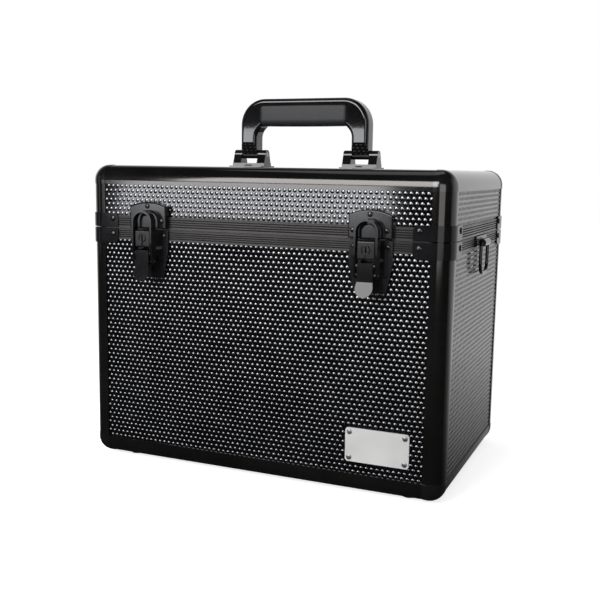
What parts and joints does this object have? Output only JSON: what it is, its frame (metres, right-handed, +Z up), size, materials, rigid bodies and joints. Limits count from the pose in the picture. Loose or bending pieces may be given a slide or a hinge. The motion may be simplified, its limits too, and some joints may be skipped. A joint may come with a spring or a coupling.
{
  "type": "grooming case",
  "caption": "Hard box case with a hinged lid, edge extrusions, corner caps, front draw latches with locks, end strap rings and a folding top handle.",
  "frame": {"origin": "centre of the case's underside, at the outer faces of the bottom extrusions, above the feet", "axes": "+X to the right seen from the front, -Y out of the front face with the latches, +Z up"},
  "size_m": [0.392, 0.2667, 0.3753],
  "materials": {
    "profile": "black anodised, satin",
    "rail": "dark anodised, satin",
    "panel": "black sheet with raised glossy dots",
    "cap": "black, glossy",
    "brace": "black, semi-gloss",
    "rivet": "black, glossy",
    "lining": "dark grey foam sheet",
    "foot": "matte",
    "steel": "plain",
    "nameplate": "brushed, bare",
    "hinge": "black, semi-gloss",
    "latch": "black, glossy",
    "lock": "black, semi-gloss",
    "strap": "black, semi-gloss",
    "handle": "black, glossy",
    "grip": "dark grey, textured, soft"
  },
  "bodies": {
    "base": {"base_floor_panel": "panel", "base_front_panel": "panel", "base_back_panel": "panel", "base_end_panels": "panel", "base_bottom_profiles": "profile", "base_upright_profiles": "profile", "base_corner_caps": "cap", "base_front_rail": "rail", "base_back_rail": "rail", "base_end_rails": "rail", "base_lining": "lining", "base_corner_braces": "brace", "base_brace_rivets": "rivet", "feet": "foot", "foot_screws": "steel", "nameplate": "nameplate", "nameplate_rivets": "nameplate", "hinge_base_leaf": "hinge", "hinge_pin": "steel", "hinge_base_rivets": "rivet", "latch_base_plates": "latch", "latch_base_rivets": "rivet", "lock_housings": "latch", "lever_pivot_pins": "steel", "strap_plates": "strap", "strap_rivets": "rivet"},
    "lid": {"lid_top_panel": "panel", "lid_front_panel": "panel", "lid_back_panel": "panel", "lid_end_panels": "panel", "lid_top_profiles": "profile", "lid_upright_profiles": "profile", "lid_corner_caps": "cap", "lid_front_rail": "rail", "lid_back_rail": "rail", "lid_end_rails": "rail", "lid_lining": "lining", "lid_corner_braces": "brace", "lid_brace_rivets": "rivet", "hinge_lid_leaf": "hinge", "hinge_lid_rivets": "rivet", "latch_catch_plates": "latch", "latch_catch_rivets": "rivet", "handle_brackets": "handle", "handle_bracket_rivets": "rivet", "handle_pins": "steel"},
    "handle": {"handle_frame": "handle", "handle_grip": "grip"},
    "left_lever": {"left_latch_lever": "latch", "left_loop_pin": "steel"},
    "right_lever": {"right_latch_lever": "latch", "right_loop_pin": "steel"},
    "left_loop": {"left_draw_loop": "latch"},
    "right_loop": {"right_draw_loop": "latch"},
    "left_lock": {"left_lock_cylinder": "lock"},
    "right_lock": {"right_lock_cylinder": "lock"},
    "left_ring": {"left_strap_ring": "strap"},
    "right_ring": {"right_strap_ring": "strap"}
  },
  "joints": [
    {"name": "lid_hinge", "type": "hinge", "parent": "base", "child": "lid", "pos_m": [0, 0.1227, 0.2377], "axis": [-1, 0, 0], "range_deg": [0, 95]},
    {"name": "handle_fold", "type": "hinge", "parent": "lid", "child": "handle", "pos_m": [0, 0, 0.3136], "axis": [1, 0, 0], "range_deg": [-80, 80]},
    {"name": "left_lever_lift", "type": "hinge", "parent": "base", "child": "left_lever", "pos_m": [-0.115, -0.1315, 0.215], "axis": [-1, 0, 0], "range_deg": [0, 100]},
    {"name": "left_loop_swing", "type": "hinge", "parent": "left_lever", "child": "left_loop", "pos_m": [-0.115, -0.1309, 0.207], "axis": [-1, 0, 0], "range_deg": [-115, 0]},
    {"name": "left_lock_turn", "type": "hinge", "parent": "base", "child": "left_lock", "pos_m": [-0.115, -0.135, 0.2298], "axis": [0, -1, 0], "range_deg": [0, 90]},
    {"name": "left_ring_swing", "type": "hinge", "parent": "base", "child": "left_ring", "pos_m": [-0.1921, 0, 0.231], "axis": [0, 1, 0], "range_deg": [0, 100]},
    {"name": "right_lever_lift", "type": "hinge", "parent": "base", "child": "right_lever", "pos_m": [0.115, -0.1315, 0.215], "axis": [-1, 0, 0], "range_deg": [0, 100]},
    {"name": "right_loop_swing", "type": "hinge", "parent": "right_lever", "child": "right_loop", "pos_m": [0.115, -0.1309, 0.207], "axis": [-1, 0, 0], "range_deg": [-115, 0]},
    {"name": "right_lock_turn", "type": "hinge", "parent": "base", "child": "right_lock", "pos_m": [0.115, -0.135, 0.2298], "axis": [0, -1, 0], "range_deg": [0, 90]},
    {"name": "right_ring_swing", "type": "hinge", "parent": "base", "child": "right_ring", "pos_m": [0.1921, 0, 0.231], "axis": [0, -1, 0], "range_deg": [0, 100]}
  ],
  "couplings": [
    {"joint": "left_loop_swing", "follows": "left_lever_lift", "ratio": -1.15},
    {"joint": "right_loop_swing", "follows": "right_lever_lift", "ratio": -1.15}
  ]
}
